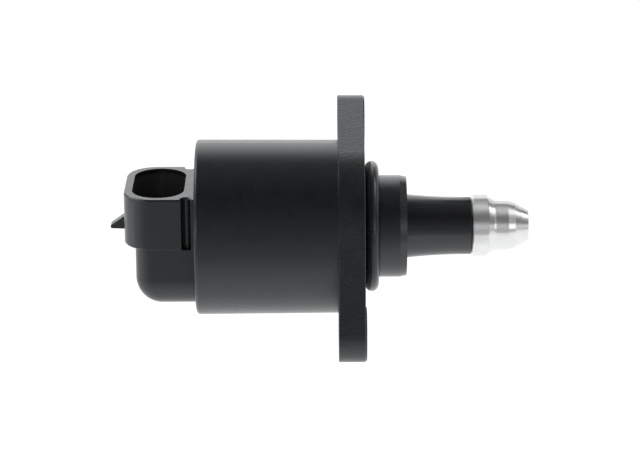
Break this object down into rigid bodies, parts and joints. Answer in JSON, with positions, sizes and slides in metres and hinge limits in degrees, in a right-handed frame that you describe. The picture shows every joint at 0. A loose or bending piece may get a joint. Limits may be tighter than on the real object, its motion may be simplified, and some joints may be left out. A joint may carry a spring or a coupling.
{
  "type": "idle air control valve",
  "caption": "Stepper idle air control valve: round black housing with a connector socket, eared mounting flange, sealing ring on a spigot, and a metal pintle that slides in its guide neck.",
  "frame": {"origin": "on the valve axis, in the plane of the two mounting pads on the flange", "axes": "+X along the valve axis to the pintle's nose, +Z out of the connector's mouth, +Y completes a right-handed frame"},
  "size_m": [0.0788, 0.0422, 0.0422],
  "materials": {
    "housing_plastic": "fine spark-eroded grain, black glass-filled nylon",
    "flange_plastic": "black glass-filled nylon, smoother on the neck",
    "ring_rubber": "smooth black nitrile",
    "pintle_metal": "bright turned, fine tool rings",
    "stem_steel": "ground steel",
    "nut_brass": "turned brass",
    "ferrite": "dull ferrite",
    "bush_bronze": "sintered bronze",
    "spring_steel": "spring steel",
    "bearing_steel": "polished",
    "cage_brass": "pressed brass",
    "stator_steel": "zinc-plated sheet",
    "bobbin_plastic": "natural nylon",
    "copper_wire": "enamelled copper wire",
    "terminal_tin": "tinned brass strip"
  },
  "bodies": {
    "housing": {"rear_housing": "housing_plastic", "front_flange": "flange_plastic", "spigot_o_ring": "ring_rubber", "rear_bush": "bush_bronze", "preload_washer": "spring_steel", "bearing_outer_ring": "bearing_steel", "stator_cup_rear": "stator_steel", "claw_plate_rear": "stator_steel", "bobbin_rear": "bobbin_plastic", "winding_rear": "copper_wire", "stator_cup_front": "stator_steel", "claw_plate_front": "stator_steel", "bobbin_front": "bobbin_plastic", "winding_front": "copper_wire", "terminal_1": "terminal_tin", "terminal_2": "terminal_tin", "terminal_3": "terminal_tin", "terminal_4": "terminal_tin"},
    "rotor": {"rotor_hub": "nut_brass", "rotor_magnet": "ferrite", "bearing_inner_ring": "bearing_steel"},
    "ball_set": {"bearing_balls": "bearing_steel", "ball_cage": "cage_brass"},
    "pintle": {"pintle_tip": "pintle_metal", "lead_screw": "stem_steel"}
  },
  "joints": [
    {"name": "rotor_spin", "type": "hinge", "parent": "housing", "child": "rotor", "pos_m": [-0.019, 0, 0], "axis": [1, 0, 0], "range_deg": [0, 2880]},
    {"name": "ball_orbit", "type": "hinge", "parent": "housing", "child": "ball_set", "pos_m": [-0.00875, 0, 0], "axis": [1, 0, 0], "range_deg": [0, 1153]},
    {"name": "pintle_slide", "type": "slide", "parent": "housing", "child": "pintle", "axis": [1, 0, 0], "range_m": [0, 0.008]}
  ],
  "couplings": [
    {"joint": "ball_orbit", "follows": "rotor_spin", "ratio": 0.4},
    {"joint": "pintle_slide", "follows": "rotor_spin", "m_per_rad": 0.00015915}
  ]
}
